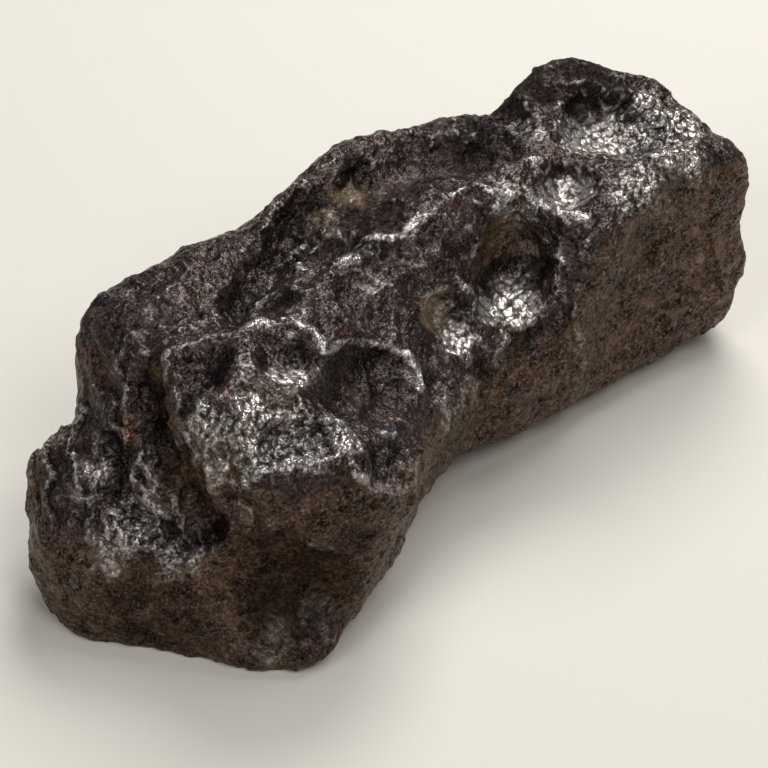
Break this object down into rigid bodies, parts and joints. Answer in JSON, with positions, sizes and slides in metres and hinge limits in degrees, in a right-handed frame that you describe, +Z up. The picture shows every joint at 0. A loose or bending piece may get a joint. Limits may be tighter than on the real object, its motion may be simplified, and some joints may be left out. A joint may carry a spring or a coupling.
{
  "type": "iron meteorite",
  "caption": "Iron meteorite: one elongated block of weathered nickel-iron, pitted with thumbprint hollows, that lies on its worn underside",
  "frame": {"origin": "on the surface it lies on, under the middle of its box", "axes": "+Z up, X along its length with the narrower, lower end at -X, and the deepest hollows on the front, which faces -Y"},
  "size_m": [0.3078, 0.1384, 0.1137],
  "materials": {
    "meteorite": "weathered nickel-iron with a dark oxide skin, worn bright on its crests and brown in its hollows"
  },
  "bodies": {
    "root": {"meteorite": "meteorite"}
  },
  "joints": []
}
